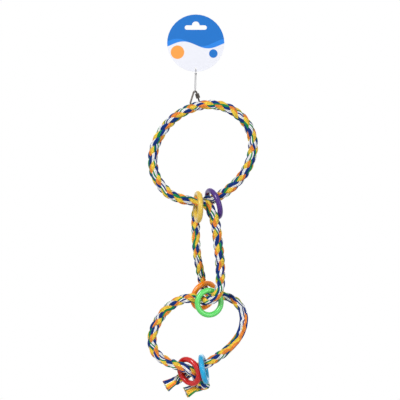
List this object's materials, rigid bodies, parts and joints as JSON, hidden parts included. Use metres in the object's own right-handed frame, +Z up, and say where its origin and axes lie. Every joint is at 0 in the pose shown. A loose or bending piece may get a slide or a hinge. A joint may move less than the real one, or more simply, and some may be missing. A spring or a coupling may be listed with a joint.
{
  "type": "bird rope with rings",
  "caption": "Hanging bird toy: a thick laid rope bent into loops that cross one another, with loose plastic rings threaded on it, a screw link at the top and a round card tag.",
  "frame": {"origin": "top of the hanging slot in the card tag, where a peg carries the toy", "axes": "+Z up the hanging line, -Y out of the front of the tag, +X to the right as seen from the front"},
  "size_m": [0.1592, 0.0697, 0.5588],
  "materials": {
    "card": "gloss-printed card",
    "clear_thread": "clear nylon thread",
    "nickel": "bright nickel plate",
    "rope": "three-strand cotton of navy, white, green, yellow and orange yarns",
    "yellow_plastic": "glossy",
    "purple_plastic": "glossy",
    "green_plastic": "glossy",
    "orange_plastic": "glossy",
    "red_plastic": "glossy",
    "blue_plastic": "glossy"
  },
  "bodies": {
    "tag": {"hang_tag": "card"},
    "thread": {"string_eye": "clear_thread", "string_knot": "clear_thread", "string_loop": "clear_thread"},
    "link": {"link": "nickel"},
    "nut": {"link_nut": "nickel"},
    "top_loop": {"rope_top_loop": "rope"},
    "middle_loop": {"rope_upper_bend_back": "rope", "rope_upper_bend_front": "rope", "rope_middle_left": "rope", "rope_middle_right": "rope"},
    "bottom_loop": {"rope_lower_bend_back": "rope", "rope_lower_bend_front": "rope", "rope_bottom_left": "rope", "rope_bottom_right": "rope", "rope_left_tail": "rope", "rope_last_bend": "rope", "rope_left_end": "rope", "rope_right_end": "rope"},
    "yellow_ring": {"ring_yellow": "yellow_plastic"},
    "purple_ring": {"ring_purple": "purple_plastic"},
    "green_ring": {"ring_green": "green_plastic"},
    "orange_ring": {"ring_orange": "orange_plastic"},
    "red_ring": {"ring_red": "red_plastic"},
    "blue_ring": {"ring_blue": "blue_plastic"}
  },
  "joints": [
    {"name": "sideways_swing", "type": "hinge", "parent": "tag", "child": "thread", "pos_m": [0, 0, -0.0691], "axis": [0, 1, 0], "range_deg": [-20, 20]},
    {"name": "link_swing", "type": "hinge", "parent": "thread", "child": "link", "pos_m": [-0.001, 0, -0.1012], "axis": [1, 0, 0], "range_deg": [-25, 25]},
    {"name": "nut_travel", "type": "slide", "parent": "link", "child": "nut", "axis": [0.2941, 0, -0.9558], "range_m": [0, 0.0044]},
    {"name": "rope_rock_on_link", "type": "hinge", "parent": "link", "child": "top_loop", "pos_m": [-0.001, 0, -0.1254], "axis": [1, 0, 0], "range_deg": [-15, 15]},
    {"name": "middle_loop_swing", "type": "hinge", "parent": "top_loop", "child": "middle_loop", "pos_m": [0, 0.0011, -0.262], "axis": [1, 0, 0], "range_deg": [-9, 9], "deforming": ["rope_upper_bend_back", "rope_upper_bend_front"]},
    {"name": "bottom_loop_swing", "type": "hinge", "parent": "middle_loop", "child": "bottom_loop", "pos_m": [0, 0.0007, -0.399], "axis": [1, 0, 0], "range_deg": [-12, 12], "deforming": ["rope_lower_bend_back", "rope_lower_bend_front"]},
    {"name": "yellow_ring_swing", "type": "hinge", "parent": "middle_loop", "child": "yellow_ring", "pos_m": [0.0025, -0.00367, -0.26118], "axis": [0.989, -0.106, -0.103], "range_deg": [-75, 0]},
    {"name": "purple_ring_slide", "type": "slide", "parent": "middle_loop", "child": "purple_ring", "axis": [0.8, 0, 0.6], "range_m": [0, 0.016]},
    {"name": "green_ring_turn", "type": "hinge", "parent": "bottom_loop", "child": "green_ring", "pos_m": [0.01896, -0.00935, -0.40404], "axis": [0, 0, 1], "range_deg": [0, 70]},
    {"name": "orange_ring_tip", "type": "hinge", "parent": "bottom_loop", "child": "orange_ring", "pos_m": [0.01701, 0.02193, -0.39369], "axis": [0, 1, 0], "range_deg": [0, 15]},
    {"name": "red_ring_tip", "type": "hinge", "parent": "bottom_loop", "child": "red_ring", "pos_m": [-0.00811, -0.00981, -0.50527], "axis": [0, 1, 0], "range_deg": [0, 40]},
    {"name": "blue_ring_slide", "type": "slide", "parent": "bottom_loop", "child": "blue_ring", "axis": [0.8, 0, 0.6], "range_m": [0, 0.022]}
  ]
}
